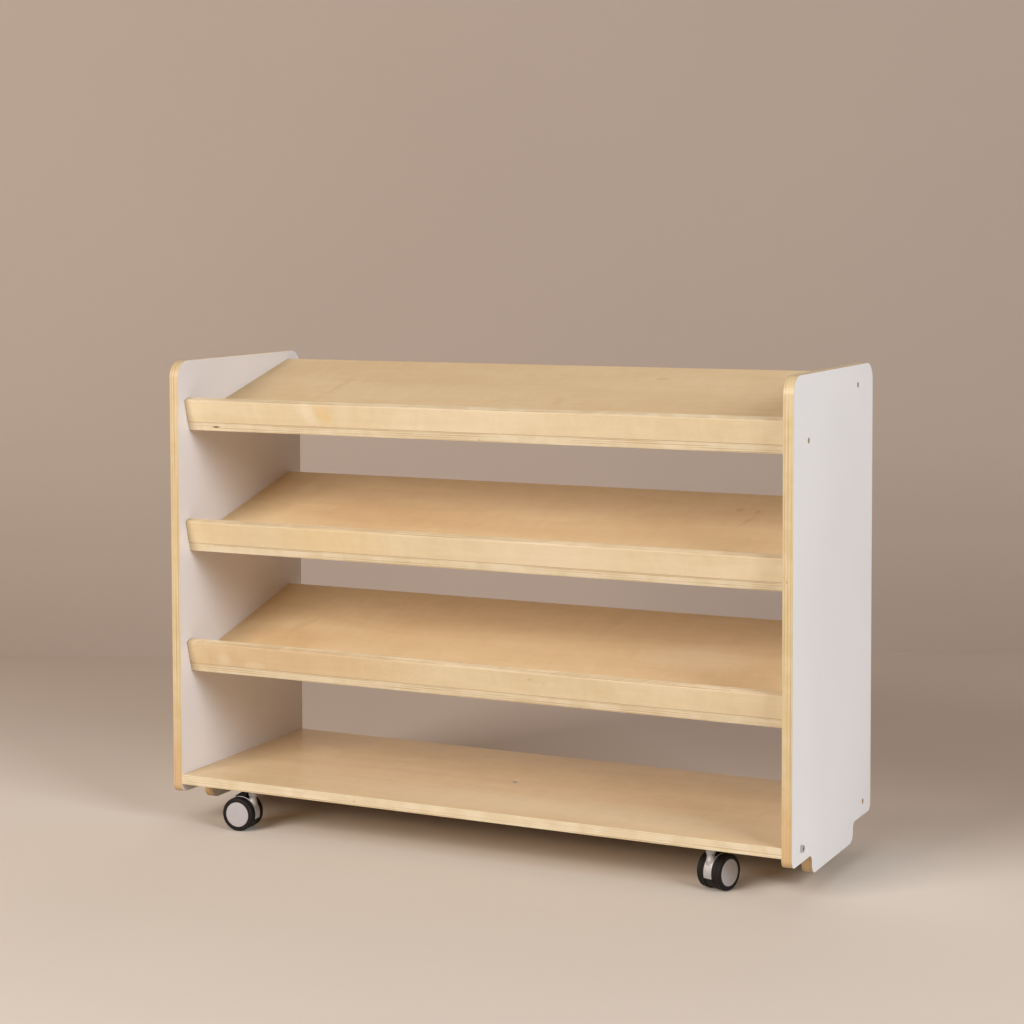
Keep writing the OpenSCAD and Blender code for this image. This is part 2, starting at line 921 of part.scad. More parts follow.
// A wheel part turned about the axle on one side of the castor, side is 1 or -1
module turned_wheel_part(side, points) {
    on_axle()
        mirror([0, 0, side > 0 ? 0 : 1])
            rotate_extrude($fn = 96)
                polygon(points);
}

function hub_section() = [
    [axle_d/2 + fit, hub_inner],
    [hub_boss_r, hub_inner],
    [hub_boss_r, hub_outer - hub_face_t],
    [hub_r - hub_rim_t, hub_outer - hub_face_t],
    [hub_r - hub_rim_t, wheel_gap/2 + hub_inset],
    [hub_r, wheel_gap/2 + hub_inset],
    [hub_r, hub_outer - hub_face_t/3],
    [hub_r - hub_face_t/3, hub_outer],
    [0, hub_outer],
    [0, hub_outer - hub_face_t],
    [axle_d/2 + fit, hub_outer - hub_face_t]];

function tyre_section() = concat(
    [[hub_r + fit, wheel_gap/2]],
    arc(wheel_r - inner_shoulder, wheel_gap/2 + inner_shoulder, inner_shoulder, 270, 360, 4),
    arc(wheel_r - outer_shoulder, wheel_gap/2 + wheel_w - outer_shoulder, outer_shoulder, 0, 90, 6),
    [[hub_r + 2*hub_inset, wheel_gap/2 + wheel_w]],
    [[hub_r + fit, wheel_gap/2 + wheel_w - hub_inset]]);

module hub(side) {
    color(hub_grey) turned_wheel_part(side, hub_section());
}

module tyre(side) {
    color(rubber) turned_wheel_part(side, tyre_section());
}

left_panel();
left_panel_outer_laminate();
left_panel_inner_laminate();
right_panel();
right_panel_outer_laminate();
right_panel_inner_laminate();
top_shelf();
top_lip();
middle_shelf();
middle_lip();
lower_shelf();
lower_lip();
bottom_shelf();
stiffening_rail();
sunk_bolts();
proud_bolts();
barrel_nuts();
cam_bolts();
cam_discs();
wood_dowels();
rail_screw();
plate_screws();
castor_kingpins();
castor_at(-1, -1, 0) castor_plate();  // castor_plate_fl
castor_at(-1, -1, turn_fl) castor_body(true);  // castor_body_fl
castor_at(-1, -1, turn_fl) castor_insert(true);  // castor_insert_fl
castor_at(-1, -1, turn_fl) castor_axle();  // castor_axle_fl
castor_at(-1, -1, turn_fl) hub(1);  // hub_fl_a
castor_at(-1, -1, turn_fl) hub(-1);  // hub_fl_b
castor_at(-1, -1, turn_fl) tyre(1);  // tyre_fl_a
castor_at(-1, -1, turn_fl) tyre(-1);  // tyre_fl_b
castor_at(-1, -1, turn_fl) brake_pedal();  // brake_pedal_fl
castor_at(1, -1, 0) castor_plate();  // castor_plate_fr
castor_at(1, -1, turn_fr) castor_body(true);  // castor_body_fr
castor_at(1, -1, turn_fr) castor_insert(true);  // castor_insert_fr
castor_at(1, -1, turn_fr) castor_axle();  // castor_axle_fr
castor_at(1, -1, turn_fr) hub(1);  // hub_fr_a
castor_at(1, -1, turn_fr) hub(-1);  // hub_fr_b
castor_at(1, -1, turn_fr) tyre(1);  // tyre_fr_a
castor_at(1, -1, turn_fr) tyre(-1);  // tyre_fr_b
castor_at(1, -1, turn_fr) brake_pedal();  // brake_pedal_fr
castor_at(-1, 1, 0) castor_plate();  // castor_plate_rl
castor_at(-1, 1, turn_rl) castor_body(false);  // castor_body_rl
castor_at(-1, 1, turn_rl) castor_insert(false);  // castor_insert_rl
castor_at(-1, 1, turn_rl) castor_axle();  // castor_axle_rl
castor_at(-1, 1, turn_rl) hub(1);  // hub_rl_a
castor_at(-1, 1, turn_rl) hub(-1);  // hub_rl_b
castor_at(-1, 1, turn_rl) tyre(1);  // tyre_rl_a
castor_at(-1, 1, turn_rl) tyre(-1);  // tyre_rl_b
castor_at(1, 1, 0) castor_plate();  // castor_plate_rr
castor_at(1, 1, turn_rr) castor_body(false);  // castor_body_rr
castor_at(1, 1, turn_rr) castor_insert(false);  // castor_insert_rr
castor_at(1, 1, turn_rr) castor_axle();  // castor_axle_rr
castor_at(1, 1, turn_rr) hub(1);  // hub_rr_a
castor_at(1, 1, turn_rr) hub(-1);  // hub_rr_b
castor_at(1, 1, turn_rr) tyre(1);  // tyre_rr_a
castor_at(1, 1, turn_rr) tyre(-1);  // tyre_rr_b
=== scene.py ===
import json
import math

import bpy
from mathutils import Matrix, Vector


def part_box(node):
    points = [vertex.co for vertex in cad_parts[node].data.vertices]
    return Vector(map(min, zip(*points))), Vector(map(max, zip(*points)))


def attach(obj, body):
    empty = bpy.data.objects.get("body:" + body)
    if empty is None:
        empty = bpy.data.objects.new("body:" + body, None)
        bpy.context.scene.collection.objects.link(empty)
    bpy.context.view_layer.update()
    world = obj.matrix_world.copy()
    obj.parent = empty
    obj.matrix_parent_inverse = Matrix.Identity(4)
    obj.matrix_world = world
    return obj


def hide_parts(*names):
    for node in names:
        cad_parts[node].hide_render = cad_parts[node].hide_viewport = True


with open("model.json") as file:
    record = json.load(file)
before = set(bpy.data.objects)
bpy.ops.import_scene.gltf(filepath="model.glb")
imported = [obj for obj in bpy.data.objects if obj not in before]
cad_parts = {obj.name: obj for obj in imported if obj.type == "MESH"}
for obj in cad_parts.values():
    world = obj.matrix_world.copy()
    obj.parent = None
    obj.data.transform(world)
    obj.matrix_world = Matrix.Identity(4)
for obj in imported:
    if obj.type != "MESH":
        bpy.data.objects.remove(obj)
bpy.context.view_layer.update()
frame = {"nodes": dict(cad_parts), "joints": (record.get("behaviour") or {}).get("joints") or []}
nodes = frame["nodes"]
joints = {joint["name"]: joint for joint in frame["joints"]}
print("frame loaded:", len(nodes), "nodes")

# Camera at the photograph's viewing angle

cameraView = {
    "place": (1.76731, -3.82694, 1.10713),
    "yaw": 27.817,
    "pitch": 3.214,
    "roll": 0.333,
    "sensor": 36,
    "lens": 81.44,
    "shiftX": 0.1173,
    "shiftY": -0.1466,
}


def makeCamera(view):
    camera = bpy.data.objects.new("photoCamera", bpy.data.cameras.new("photoCamera"))
    bpy.context.collection.objects.link(camera)
    camera.matrix_world = (
        Matrix.Translation(view["place"])
        @ Matrix.Rotation(math.radians(view["yaw"]), 4, "Z")
        @ Matrix.Rotation(math.radians(90 - view["pitch"]), 4, "X")
        @ Matrix.Rotation(math.radians(-view["roll"]), 4, "Z"))
    camera.data.sensor_width = view["sensor"]
    camera.data.lens = view["lens"]
    camera.data.shift_x = view["shiftX"]
    camera.data.shift_y = view["shiftY"]
    bpy.context.scene.camera = camera


makeCamera(cameraView)
bpy.context.scene.view_settings.view_transform = "Standard"


# Small helpers for node trees

def addNode(tree, kind, inputs=None, **settings):
    node = tree.nodes.new("ShaderNode" + kind)
    for key, value in settings.items():
        setattr(node, key, value)
    for key, value in (inputs or {}).items():
        if isinstance(value, bpy.types.NodeSocket):
            tree.links.new(value, node.inputs[key])
        else:
            node.inputs[key].default_value = value
    return node


def maths(tree, operation, first, second=0.0, clamp=False):
    node = addNode(tree, "Math", {0: first, 1: second}, operation=operation, use_clamp=clamp)
    return node.outputs[0]


def scaled(tree, value, factor):
    return maths(tree, "MULTIPLY", value, factor)


def mixColours(tree, factor, first, second, blend="MIX"):
    node = addNode(tree, "Mix", data_type="RGBA", blend_type=blend)
    for index, value in ((0, factor), (6, first), (7, second)):  # the sockets of the RGBA kind
        if isinstance(value, bpy.types.NodeSocket):
            tree.links.new(value, node.inputs[index])
        else:
            node.inputs[index].default_value = value
    return node.outputs[2]


# Goes softly from 0 at low to 1 at high, whichever of the two is larger
def between(tree, value, low, high):
    limits = {"Value": value, "From Min": low, "From Max": high}
    return addNode(tree, "MapRange", limits, interpolation_type="SMOOTHSTEP").outputs["Result"]


# A single number as scale serves all three axes; each seed looks at another part of the noise
def noise(tree, place, scale, detail=2.0, distortion=0.0, seed=0.0):
    scales = scale if isinstance(scale, tuple) else (scale, scale, scale)
    shift = (seed, seed*0.7, seed*1.3)
    stretched = addNode(tree, "Mapping", {"Vector": place, "Scale": scales, "Location": shift})
    settings = {"Vector": stretched.outputs[0], "Scale": 1.0, "Detail": detail,
                "Distortion": distortion}
    return addNode(tree, "TexNoise", settings).outputs["Fac"]


def axes(tree, vector):
    return addNode(tree, "SeparateXYZ", {"Vector": vector}).outputs


def absolute(tree, value):
    return maths(tree, "ABSOLUTE", value)


def startMaterial(name, **values):
    material = bpy.data.materials.new(name)
    material.use_nodes = True
    shader = material.node_tree.nodes["Principled BSDF"]
    for key, value in values.items():
        shader.inputs[key.replace("_", " ")].default_value = value
    return material, material.node_tree, shader


def addBump(tree, shader, height, strength, distance):
    bump = addNode(tree, "Bump", {"Height": height, "Strength": strength, "Distance": distance})
    tree.links.new(bump.outputs["Normal"], shader.inputs["Normal"])


def shaded(colour, factor):
    return tuple(factor*channel for channel in colour[:3]) + (1,)


def finishNode(name, material):
    for holder in nodes[name].material_slots:
        holder.material = material


# Birch: rotary-cut veneer on the faces, plies and glue lines on the edges

birchLook = {
    "pale": (0.785, 0.609, 0.369, 1),
    "warm": (0.700, 0.513, 0.288, 1),
    "plyPale": (0.632, 0.526, 0.344, 1),
    "plyCream": (0.688, 0.592, 0.422, 1),
    "plyTan": (0.487, 0.336, 0.173, 1),
    "glue": (0.29, 0.17, 0.075, 1),
    "glueHalf": 0.00014,
    "plyPairs": 4,
    "tanHalf": 0.14,
    "knot": (0.12, 0.06, 0.03, 1),
    "figure": (0.46, 0.27, 0.12, 1),
    "flame": (0.93, 0.86, 0.70, 1),
    "heart": (0.66, 0.46, 0.20, 1),
    "amber": (0.88, 0.79, 0.70, 1),  # multiplied, so the grain stays
}
lipLook = {**birchLook, "pale": (0.713, 0.591, 0.398, 1), "warm": (0.620, 0.486, 0.298, 1),
           "plyPale": (0.715, 0.592, 0.385, 1), "plyCream": (0.790, 0.675, 0.480, 1)}

veneerGrain = {
    "layers": {  # scale, detail, distortion, step of the seed and share in the tone
        "broad": ((1.6, 7.0, 7.0), 3.0, 1.0, 0, 0.80),
        "flame": ((5.0, 40.0, 40.0), 2.0, 1.2, 3, 0.35),
        "fibre": ((30.0, 700.0, 700.0), 2.0, 0.0, 7, 0.22),
        "curl": ((34.0, 16.0, 16.0), 2.0, 0.8, 11, 0.40),
    },
    "warmAt": 0.58,
    "paleAt": 1.20,
    "poreScale": (160.0, 2600.0, 2600.0),
    "poreSeedStep": 5,
    "poresAbove": 0.72,
    "poreShare": 0.16,
}


# The veneer's colour, and its fibres for the bump
def veneer(tree, place, look, seed):
    tone = 0.0
    layers = {}
    for name, (scale, detail, distortion, step, share) in veneerGrain["layers"].items():
        layers[name] = noise(tree, place, scale, detail, distortion, seed + step)
        tone = maths(tree, "ADD", tone, scaled(tree, layers[name], share))
    warmToPale = between(tree, tone, veneerGrain["warmAt"], veneerGrain["paleAt"])
    colour = mixColours(tree, warmToPale, look["warm"], look["pale"])
    specks = noise(tree, place, veneerGrain["poreScale"], detail=0.0,
                   seed=seed + veneerGrain["poreSeedStep"])
    pores = maths(tree, "GREATER_THAN", specks, veneerGrain["poresAbove"])
    pores = scaled(tree, pores, veneerGrain["poreShare"])
    return mixColours(tree, pores, colour, look["warm"], "MULTIPLY"), layers["fibre"]


plyGrain = {
    "tanSoftOut": 0.06,
    "tanSoftIn": 0.02,
    "streakScale": 26.0,
    "streakFrom": 0.35,
    "streakTo": 0.65,
    "breakSeedStep": 6,
    "breakFrom": 0.34,
    "breakTo": 0.66,
    "fadeFrom": 0.2,  # of the thickness
    "fadeTo": 0.6,
    "glueShare": 0.8,
}


# Pale and tan plies in turn across the thickness; fade gives their share below and above
def plies(tree, place, across, thickness, look, seed, apart, fade=(1.0, 1.0)):
    pair = maths(tree, "FRACT", scaled(tree, across, look["plyPairs"]/thickness))
    fromMiddle = absolute(tree, maths(tree, "SUBTRACT", pair, 0.5))
    tan = between(tree, fromMiddle, look["tanHalf"] + plyGrain["tanSoftOut"],
                  look["tanHalf"] - plyGrain["tanSoftIn"])
    toGlue = absolute(tree, maths(tree, "SUBTRACT", pair, 0.5 - look["tanHalf"]))
    glue = maths(tree, "LESS_THAN", toGlue, look["glueHalf"]*look["plyPairs"]/thickness)
    streak = noise(tree, place, plyGrain["streakScale"], detail=3.0, distortion=0.5, seed=seed)
    streak = between(tree, streak, plyGrain["streakFrom"], plyGrain["streakTo"])
    broken = noise(tree, place, apart, seed=seed + plyGrain["breakSeedStep"])
    broken = between(tree, broken, plyGrain["breakFrom"], plyGrain["breakTo"])
    colour = mixColours(tree, streak, look["plyPale"], look["plyCream"])
    shown = addNode(tree, "MapRange", {
        "Value": across, "From Min": thickness*plyGrain["fadeFrom"],
        "From Max": thickness*plyGrain["fadeTo"], "To Min": fade[0], "To Max": fade[1]})
    shown = scaled(tree, shown.outputs["Result"], broken)
    colour = mixColours(tree, scaled(tree, tan, shown), colour, look["plyTan"])
    glue = scaled(tree, glue, scaled(tree, shown, plyGrain["glueShare"]))
    return mixColours(tree, glue, colour, look["glue"])


spotEdge = {"scale": 220.0, "ragged": 0.4, "outer": 1.2, "inner": 0.5}


# Each spot: its middle, its half sizes, its lean in degrees about Y and Z, its kind and strength
def spotted(tree, colour, place, spots, look):
    for middle, halves, lean, kind, strength in spots:
        turn = [math.radians(angle) for angle in (0, *lean)]
        offset = addNode(tree, "Mapping", {
            "Vector": place, "Location": middle, "Scale": halves, "Rotation": turn},
            vector_type="TEXTURE")
        length = addNode(tree, "VectorMath", {0: offset.outputs[0]}, operation="LENGTH")
        rough = scaled(tree, noise(tree, place, spotEdge["scale"]), spotEdge["ragged"])
        rough = maths(tree, "ADD", length.outputs["Value"], rough)
        share = scaled(tree, between(tree, rough, spotEdge["outer"], spotEdge["inner"]), strength)
        blend = "MULTIPLY" if kind == "amber" else "MIX"
        colour = mixColours(tree, share, colour, look[kind], blend)
    return colour


boardWood = {
    "roughness": 0.6,
    "specular": 0.35,
    "faceFrom": 0.80,  # of the normal
    "faceTo": 0.90,
    "breaks": {"Z": (5.0, 5.0, 170.0), "Y": (5.0, 170.0, 5.0)},  # by the board's thin axis
    "arrisFrom": 0.15,  # of the normal, on a lip's rounded edges
    "arrisTo": 0.5,
    "arrisShadeShare": 0.30,
    "jointHalf": 0.0006,
    "jointDepth": 0.001,
    "jointShare": 0.6,
    "endFrom": 0.0016,
    "endTo": 0.0004,
    "endShadeShare": 0.7,
    "bump": 0.25,
    "bumpDepth": 0.00012,
}


# A vector as it is in a board's own axes, which lean with the board
def unleaned(tree, vector, slope, origin=(0, 0, 0)):
    node = addNode(tree, "Mapping", {
        "Vector": vector, "Location": origin, "Rotation": (math.radians(slope), 0, 0)},
        vector_type="TEXTURE")
    return node.outputs[0]


# jointAt is the height of the line between board and lip, endAt the X of the lip's own end, where
# painted shade darkens the lip against the panel
def birchBoard(name, origin, slope, thickness, seed, look, faceUp=True, spots=(), jointAt=None,
               gloss=0.05, coatRoughness=0.3, fade=(1.0, 1.0), endAt=None):
    material, tree, shader = startMaterial(
        name, Roughness=boardWood["roughness"], Coat_Weight=gloss, Coat_Roughness=coatRoughness,
        Specular_IOR_Level=boardWood["specular"])
    coordinates = addNode(tree, "TexCoord").outputs
    place = unleaned(tree, coordinates["Object"], slope, origin)
    split = axes(tree, place)
    facing = axes(tree, unleaned(tree, coordinates["Normal"], slope))
    thin = "Z" if faceUp else "Y"
    flat = between(tree, absolute(tree, facing[thin]), boardWood["faceFrom"], boardWood["faceTo"])
    faceColour, fibre = veneer(tree, place, look, seed)
    edgeColour = plies(tree, place, split[thin], thickness, look, seed,
                       boardWood["breaks"][thin], fade)
    colour = mixColours(tree, flat, edgeColour, faceColour)
    if not faceUp:
        # Painted shade: the lip's rounded edges are darkened towards the glue colour to hold down
        # their highlight
        limits = boardWood["arrisFrom"], boardWood["arrisTo"]
        turned = [between(tree, absolute(tree, facing[axis]), *limits) for axis in ("Y", "Z")]
        arrisShade = scaled(tree, scaled(tree, *turned), boardWood["arrisShadeShare"])
        colour = mixColours(tree, arrisShade, colour, look["glue"])
    colour = spotted(tree, colour, place, spots, look)
    if jointAt is not None:
        near = absolute(tree, maths(tree, "SUBTRACT", split["Z"], jointAt))
        joint = maths(tree, "LESS_THAN", near, boardWood["jointHalf"])
        joint = scaled(tree, joint, boardWood["jointShare"])
        front = maths(tree, "LESS_THAN", split["Y"], boardWood["jointDepth"])
        colour = mixColours(tree, scaled(tree, joint, front), colour, look["glue"])
    # Painted contact shade: the last few millimetres of the lip's ends darken towards the glue
    # colour where they meet the panels
    if endAt is not None:
        endShade = between(tree, absolute(tree, split["X"]), endAt - boardWood["endFrom"],
                       endAt - boardWood["endTo"])
        colour = mixColours(tree, scaled(tree, endShade, boardWood["endShadeShare"]), colour, look["glue"])
    tree.links.new(colour, shader.inputs["Base Color"])
    addBump(tree, shader, fibre, boardWood["bump"], boardWood["bumpDepth"])
    return material


boards = {
    "slope": 15.0,
    "frontY": -0.1885,
    "boardT": 0.016,
    "lipT": 0.018,
    "lipGloss": 0.04,
    "lipSeedStep": 1.7,
    "heights": {"lower": 0.2865, "middle": 0.5131, "top": 0.7397},
    "seeds": {"lower": 4.0, "middle": 9.0, "top": 17.0},
    # Each board's tone is partly its own and partly painted shade: the top board is made darker
    # because it gets more light than the boards below it
    "tonesAndShade": {"lower": 0.975, "middle": 1.03, "top": 0.885, "bottom": 0.99},
    "spots": {
        "lower": (
            ((0.21, 0, 0.004), (0.004, 0.012, 0.001), (0, 0), "figure", 0.6),
            ((-0.46, 0.13, 0.016), (0.14, 0.08, 0.02), (0, 0), "amber", 0.66),
            ((0.35, 0.20, 0.016), (0.14, 0.07, 0.02), (0, 0), "flame", 0.22),
            ((-0.447, 0.200, 0.016), (0.016, 0.055, 0.004), (0, -22), "figure", 0.20),
        ),
        "middle": (
            ((-0.25, 0.185, 0.016), (0.34, 0.10, 0.02), (0, 0), "amber", 0.50),
            ((0.395, 0.305, 0.016), (0.012, 0.012, 0.004), (0, 0), "figure", 0.3),
            ((0.430, 0.300, 0.016), (0.006, 0.012, 0.004), (0, 0), "figure", 0.35),
            ((0.428, 0.262, 0.016), (0.007, 0.045, 0.004), (0, -17), "figure", 0.20),
            ((-0.490, 0.300, 0.016), (0.030, 0.050, 0.004), (0, 0), "flame", 0.16),
        ),
        "top": (
            ((-0.5205, 0, 0.008), (0.011, 0.012, 0.0024), (0, 0), "knot", 1.0),
            ((0.020, 0, 0.0035), (0.004, 0.012, 0.0012), (0, 0), "knot", 0.5),
            ((0.244, 0.318, 0.016), (0.020, 0.012, 0.006), (0, 0), "figure", 0.30),
            ((-0.378, 0.235, 0.016), (0.012, 0.080, 0.004), (0, -4), "figure", 0.20),
            ((0.094, 0.181, 0.016), (0.014, 0.030, 0.004), (0, 0), "figure", 0.20),
        ),
    },
    "lipSpots": {
        "lower": (
            ((-0.36, 0, 0.028), (0.36, 0.012, 0.14), (0, 0), "amber", 0.95),
            ((-0.505, 0, 0.030), (0.020, 0.012, 0.020), (0, 0), "flame", 0.14),
            ((-0.440, 0, 0.022), (0.030, 0.012, 0.012), (0, 0), "flame", 0.12),
            ((0.121, 0, 0.046), (0.008, 0.012, 0.0045), (0, 0), "figure", 0.30),
            ((0.146, 0, 0.041), (0.006, 0.012, 0.0035), (0, 0), "figure", 0.25),
        ),
        "middle": (
            ((-0.54, 0, 0.030), (0.12, 0.012, 0.05), (0, 0), "heart", 0.14),
            ((-0.27, 0, 0.030), (0.15, 0.012, 0.14), (0, 0), "heart", 0.30),
            ((0.13, 0, 0.030), (0.16, 0.012, 0.14), (0, 0), "flame", 0.16),
        ),
        "top": (
            ((-0.320, 0, 0.040), (0.020, 0.012, 0.034), (-34, 0), "flame", 0.20),
            ((-0.288, 0, 0.040), (0.020, 0.012, 0.030), (-32, 0), "heart", 0.55),
            ((-0.02, 0, 0.030), (0.20, 0.012, 0.14), (0, 0), "flame", 0.09),
        ),
    },
    "bottomT": 0.018,
    "bottomZ": 0.078,
    "bottomSeed": 23.0,
    "bottomGloss": 0.5,
    "bottomCoat": 0.16,
    "bottomFade": (1.0, 0.35),
    "bottomSpotsAndSheen": (
        ((-0.2155, -0.225, 0.008), (0.0035, 0.012, 0.0011), (0, 0), "knot", 0.6),
        # Painted sheen: a paler flame patch across the front right of the bottom shelf
        ((0.18, -0.14, 0.018), (0.55, 0.09, 0.008), (0, 0), "flame", 0.20),
    ),
    "railT": 0.018,
    "railSeed": 31.0,
}


def toned(look, factor):
    return {**look, "pale": shaded(look["pale"], factor), "warm": shaded(look["warm"], factor)}


def finishBoards(size):
    for level, height in size["heights"].items():
        origin = (0, size["frontY"], height)
        seed = size["seeds"][level]
        finishNode(level + "_shelf", birchBoard(
            level + "BoardBirch", origin, size["slope"], size["boardT"], seed,
            toned(birchLook, size["tonesAndShade"][level]), spots=size["spots"][level],
            jointAt=size["boardT"]))
        finishNode(level + "_lip", birchBoard(
            level + "LipBirch", origin, size["slope"], size["lipT"], seed + size["lipSeedStep"],
            lipLook, faceUp=False, spots=size["lipSpots"][level], jointAt=size["boardT"],
            gloss=size["lipGloss"], endAt=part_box(level + "_lip")[1][0]))
    finishNode("bottom_shelf", birchBoard(
        "bottomShelfBirch", (0, 0, size["bottomZ"]), 0, size["bottomT"], size["bottomSeed"],
        toned(birchLook, size["tonesAndShade"]["bottom"]), spots=size["bottomSpotsAndSheen"],
        gloss=size["bottomGloss"], coatRoughness=size["bottomCoat"], fade=size["bottomFade"]))
    finishNode("stiffening_rail", birchBoard(
        "railBirch", (0, -size["railT"]/2, 0), 0, size["railT"], size["railSeed"], birchLook,
        faceUp=False))


finishBoards(boards)


# Side panels: birch core that shows at the edges, white laminate on both faces

panels = {
    "coreFrom": 0.5828,
    "coreT": 0.0164,
    "coreSeed": 2.0,
    "coreApart": (190.0, 5.0, 5.0),
    "coreRoughness": 0.5,
    "coreCoat": 0.25,
    "coreCoatRoughness": 0.25,
    "spots": (
        ((0.5895, -0.225, 0.535), (0.0011, 0.012, 0.0028), (0, 0), "knot", 0.8),
        ((0.5925, -0.225, 0.460), (0.0008, 0.012, 0.0020), (0, 0), "knot", 0.5),
        ((0.5880, -0.225, 0.400), (0.0008, 0.012, 0.0020), (0, 0), "knot", 0.4),
    ),
    "core": {**birchLook, "plyPale": (0.559, 0.431, 0.229, 1),
             "plyCream": (0.614, 0.484, 0.284, 1), "plyTan": (0.419, 0.288, 0.132, 1),
             "plyPairs": 3, "tanHalf": 0.10},
    "coreGrain": (900.0, 900.0, 120.0),
    "coreBump": 0.2,
    "coreBumpDepth": 0.0001,
    "endGrain": (0.546, 0.318, 0.132, 1),
    "endGrainFrom": 0.25,
    "endGrainTo": 0.086,
    "endGrainShare": 0.55,
    # The same laminate in two colours: the inner faces are painted darker and warmer, as the
    # shade and warm bounce light inside the bays
    "white": {"outer": (0.845, 0.845, 0.87, 1), "inner": (0.82, 0.782, 0.79, 1)},
    "laminateEdge": (0.50, 0.385, 0.235, 1),
    "laminateRoughness": 0.42,
    "laminateSpecular": 0.45,
    "faceNormal": 0.8,
    "edgeNormal": 0.5,
    "cloudScale": 3.0,
    "cloudFrom": 0.3,
    "cloudTo": 0.7,
    "cloudTone": 0.965,
    "pebbleScale": 900.0,
    "pebbleBump": 0.12,
    "pebbleDepth": 0.00015,
}


def panelCore(size):
    look = size["core"]
    material, tree, shader = startMaterial(
        "panelCoreBirch", Roughness=size["coreRoughness"], Coat_Weight=size["coreCoat"],
        Coat_Roughness=size["coreCoatRoughness"])
    place = addNode(tree, "TexCoord").outputs["Object"]
    split = axes(tree, place)
    across = maths(tree, "SUBTRACT", absolute(tree, split["X"]), size["coreFrom"])
    colour = plies(tree, place, across, size["coreT"], look, size["coreSeed"],
                   size["coreApart"])
    worn = between(tree, split["Z"], size["endGrainFrom"], size["endGrainTo"])
    worn = scaled(tree, worn, size["endGrainShare"])
    colour = mixColours(tree, worn, colour, size["endGrain"])
    colour = spotted(tree, colour, place, size["spots"], look)
    tree.links.new(colour, shader.inputs["Base Color"])
    fibre = noise(tree, place, size["coreGrain"], detail=1.0)
    addBump(tree, shader, fibre, size["coreBump"], size["coreBumpDepth"])
    return material


# White on the faces; on the edges, where the normal has little X, the colour of the cut edge
def whiteLaminate(name, colour, size):
    material, tree, shader = startMaterial(
        name, Roughness=size["laminateRoughness"], Specular_IOR_Level=size["laminateSpecular"])
    coordinates = addNode(tree, "TexCoord").outputs
    place = coordinates["Object"]
    facing = axes(tree, coordinates["Normal"])
    onEdge = between(tree, absolute(tree, facing["X"]), size["faceNormal"], size["edgeNormal"])
    cloud = noise(tree, place, size["cloudScale"], detail=3.0, distortion=0.4)
    cloud = between(tree, cloud, size["cloudFrom"], size["cloudTo"])
    white = mixColours(tree, cloud, shaded(colour, size["cloudTone"]), colour)
    white = mixColours(tree, onEdge, white, size["laminateEdge"])
    tree.links.new(white, shader.inputs["Base Color"])
    pebble = noise(tree, place, size["pebbleScale"], detail=1.0)
    addBump(tree, shader, pebble, size["pebbleBump"], size["pebbleDepth"])
    return material


core = panelCore(panels)
for side in ("left", "right"):
    finishNode(side + "_panel", core)
# Inner faces take the colour with painted shade, outer faces the lighter one
for face, colour in panels["white"].items():
    laminate = whiteLaminate(face + "Laminate", colour, panels)
    for side in ("left", "right"):
        finishNode(side + "_panel_" + face + "_laminate", laminate)
print("boards and panels finished")


# Castors: each tyre, cap and hood is modelled once about its own axis, then copied to its place

tyreShape = {
    "radius": 0.03099,
    "width": 0.015,
    "bore": 0.0231,
    "outerRound": 0.004,
    "outerSteps": 9,
    "innerRound": 0.002,
    "innerSteps": 5,
    "crown": 0.00025,
    "treadInset": 0.0005,
    "treadWidth": 0.98,
    "sides": 112,
    "smooth": 30,
}
capShape = {
    "radius": 0.0229,
    "depth": 0.015,
    "edgeRound": 0.0009,
    "edgeSteps": 5,
    "dome": 0.00025,
    "domeRings": ((0.005, 0.6), (0.009, 0.4)),  # width of each ring, and its share of the dome
    "wall": 0.003,
    "wallDraft": 0.0004,
    "hollow": 0.0115,
    "boss": 0.0065,
    "bossDraft": 0.0002,
    "axleBore": 0.0033,
    "sides": 112,
    "smooth": 30,
}
hoodShape = {
    "weld": 1e-5,
    "voxel": 0.00042,
    "relax": 0.6,
    "relaxTimes": 8,
    "keep": 0.3,
    "smooth": 40,
}
nearby = 1e-4  # slack when points are picked by where they are


def startPiece(name):
    piece = bpy.context.object
    piece.name = piece.data.name = name
    return piece


# Leaves the piece in edit mode with the faces or edges that pass the test selected
def pick(piece, kind, test):
    bpy.ops.object.mode_set(mode="EDIT")
    bpy.ops.mesh.select_mode(type=kind)
    bpy.ops.mesh.select_all(action="DESELECT")
    bpy.ops.object.mode_set(mode="OBJECT")
    points = piece.data.vertices
    if kind == "FACE":
        for face in piece.data.polygons:
            face.select = test(face.center, face.normal)
    else:
        for edge in piece.data.edges:
            edge.select = test(points[edge.vertices[0]].co, points[edge.vertices[1]].co)
    bpy.ops.object.mode_set(mode="EDIT")


def reach(point):
    return math.hypot(point.x, point.y)


def weldEdit(threshold):
    bpy.ops.mesh.select_all(action="SELECT")
    bpy.ops.mesh.remove_doubles(threshold=threshold)
    bpy.ops.mesh.normals_make_consistent(inside=False)
    bpy.ops.object.mode_set(mode="OBJECT")


def leaveEdit(piece, angle):
    weldEdit(1e-6)
    bpy.ops.object.shade_smooth_by_angle(angle=math.radians(angle))
    return piece


